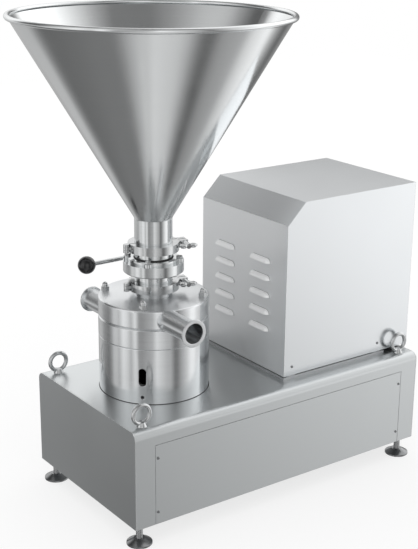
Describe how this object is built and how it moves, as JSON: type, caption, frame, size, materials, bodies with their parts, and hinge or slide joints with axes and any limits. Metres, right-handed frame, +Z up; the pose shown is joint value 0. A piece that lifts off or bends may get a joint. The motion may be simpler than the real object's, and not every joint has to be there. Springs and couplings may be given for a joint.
{
  "type": "colloid mill",
  "caption": "Stainless colloid mill: cone hopper, clamped butterfly valve and round mill head on a cabinet with a louvred motor hood, belt driven.",
  "frame": {"origin": "on the floor under the middle of the machine's bounding box", "axes": "+Z up, +X along the cabinet towards the motor hood, +Y to the back, so the access panel faces -Y"},
  "size_m": [1.0029, 0.648, 1.17],
  "materials": {
    "sheet_steel": "polished stainless sheet",
    "turned_steel": "turned stainless steel",
    "cast_steel": "cast and polished stainless steel",
    "plate_steel": "ground steel plate",
    "bright_fastener": "bright stainless fasteners",
    "foot_pad": "dull steel pad",
    "motor_aluminium": "cast aluminium motor housing",
    "pulley_iron": "machined cast iron",
    "black_rubber": "black rubber",
    "black_plastic": "glossy black moulded ball"
  },
  "bodies": {
    "machine": {"base_shell": "sheet_steel", "end_panel_left": "sheet_steel", "end_panel_right": "sheet_steel", "front_panel": "sheet_steel", "hood": "sheet_steel", "hopper_cone": "sheet_steel", "hopper_neck": "sheet_steel", "bottom_plate": "sheet_steel", "panel_posts": "sheet_steel", "hood_brackets": "sheet_steel", "bearing_housing": "turned_steel", "discharge_ring": "turned_steel", "mill_cover": "turned_steel", "valve_lower_body": "turned_steel", "valve_upper_body": "turned_steel", "stator": "turned_steel", "bearings": "turned_steel", "bearing_cap": "turned_steel", "clamp_front_halves": "cast_steel", "clamp_rear_halves": "cast_steel", "eye_bolts": "cast_steel", "swing_bolts": "cast_steel", "motor_plate": "plate_steel", "dome_nuts": "bright_fastener", "cover_studs": "bright_fastener", "clamp_pins": "bright_fastener", "valve_bolts": "bright_fastener", "panel_screws": "bright_fastener", "hood_screws": "bright_fastener", "housing_bolts": "bright_fastener", "motor_bolts": "bright_fastener", "motor_flange": "motor_aluminium", "motor_frame": "motor_aluminium", "motor_cowl": "motor_aluminium", "terminal_box": "motor_aluminium", "belts": "black_rubber", "shaft_seal": "black_rubber", "casing_gaskets": "black_rubber", "clamp_gaskets": "black_rubber", "valve_seat": "black_rubber"},
    "spindle": {"spindle": "turned_steel", "spindle_pulley": "pulley_iron", "rotor": "turned_steel", "rotor_nut": "turned_steel"},
    "motor_rotor": {"motor_shaft": "turned_steel", "motor_pulley": "pulley_iron"},
    "valve_flap": {"valve_disc": "turned_steel", "valve_stem": "turned_steel", "lever_arm": "turned_steel", "lever_knob": "black_plastic"},
    "lower_wing_nut": {"wing_nut_lower": "cast_steel"},
    "upper_wing_nut": {"wing_nut_upper": "cast_steel"},
    "foot_front_left": {"foot_rod_front_left": "bright_fastener", "foot_pad_front_left": "foot_pad"},
    "foot_back_left": {"foot_rod_back_left": "bright_fastener", "foot_pad_back_left": "foot_pad"},
    "foot_front_right": {"foot_rod_front_right": "bright_fastener", "foot_pad_front_right": "foot_pad"},
    "foot_back_right": {"foot_rod_back_right": "bright_fastener", "foot_pad_back_right": "foot_pad"}
  },
  "joints": [
    {"name": "motor_spin", "type": "hinge", "parent": "machine", "child": "motor_rotor", "pos_m": [0.2545, 0, 0.288], "axis": [0, 0, 1], "continuous": true},
    {"name": "spindle_spin", "type": "hinge", "parent": "machine", "child": "spindle", "pos_m": [-0.1775, 0, 0.288], "axis": [0, 0, 1], "continuous": true},
    {"name": "valve_lever", "type": "hinge", "parent": "machine", "child": "valve_flap", "pos_m": [-0.1775, 0.084, 0.588], "axis": [0, 1, 0], "range_deg": [0, 90]},
    {"name": "lower_wing_nut_turn", "type": "hinge", "parent": "machine", "child": "lower_wing_nut", "pos_m": [-0.11231, -0.04923, 0.541], "axis": [-0.2079, -0.9781, 0], "continuous": true},
    {"name": "upper_wing_nut_turn", "type": "hinge", "parent": "machine", "child": "upper_wing_nut", "pos_m": [-0.11231, -0.04923, 0.635], "axis": [-0.2079, -0.9781, 0], "continuous": true},
    {"name": "foot_front_left_level", "type": "slide", "parent": "machine", "child": "foot_front_left", "axis": [0, 0, 1], "range_m": [-0.012, 0.015]},
    {"name": "foot_back_left_level", "type": "slide", "parent": "machine", "child": "foot_back_left", "axis": [0, 0, 1], "range_m": [-0.012, 0.015]},
    {"name": "foot_front_right_level", "type": "slide", "parent": "machine", "child": "foot_front_right", "axis": [0, 0, 1], "range_m": [-0.012, 0.015]},
    {"name": "foot_back_right_level", "type": "slide", "parent": "machine", "child": "foot_back_right", "axis": [0, 0, 1], "range_m": [-0.012, 0.015]}
  ],
  "couplings": [
    {"joint": "spindle_spin", "follows": "motor_spin", "ratio": 1.4545}
  ]
}
